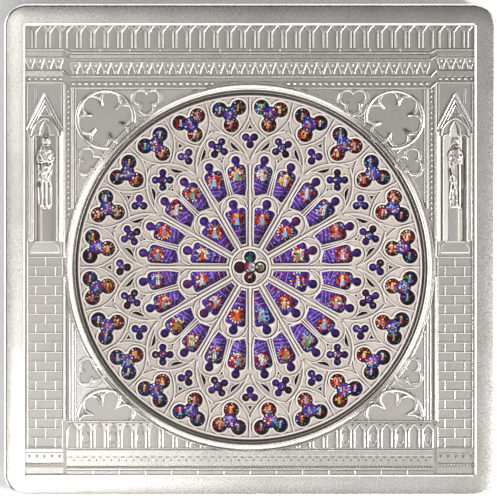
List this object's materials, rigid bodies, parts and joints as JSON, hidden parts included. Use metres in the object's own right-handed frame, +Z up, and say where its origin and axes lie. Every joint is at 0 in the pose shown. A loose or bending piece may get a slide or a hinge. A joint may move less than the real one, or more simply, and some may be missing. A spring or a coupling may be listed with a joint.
{
  "type": "square silver coin with rose window",
  "caption": "Square silver collector coin with a church front in relief and a round inset rose window of pierced ivory tracery over stained glass.",
  "frame": {"origin": "centre of the underside of the plate, on the surface it lies on", "axes": "+Z up out of the picture side, +Y to the top of the picture, +X to the picture's right"},
  "size_m": [0.06, 0.06, 0.005],
  "materials": {
    "struck_silver": null,
    "stained_glass": "coloured window glass in violet, blue, red, green and gold, glossy, lying on metal so not seen through",
    "ivory_enamel": "matte ivory lacquer on cut silver, warm white, pierced and carved"
  },
  "bodies": {
    "root": {"silver_plate": "struck_silver", "stained_glass_disc": "stained_glass", "rose_tracery": "ivory_enamel"}
  },
  "joints": []
}
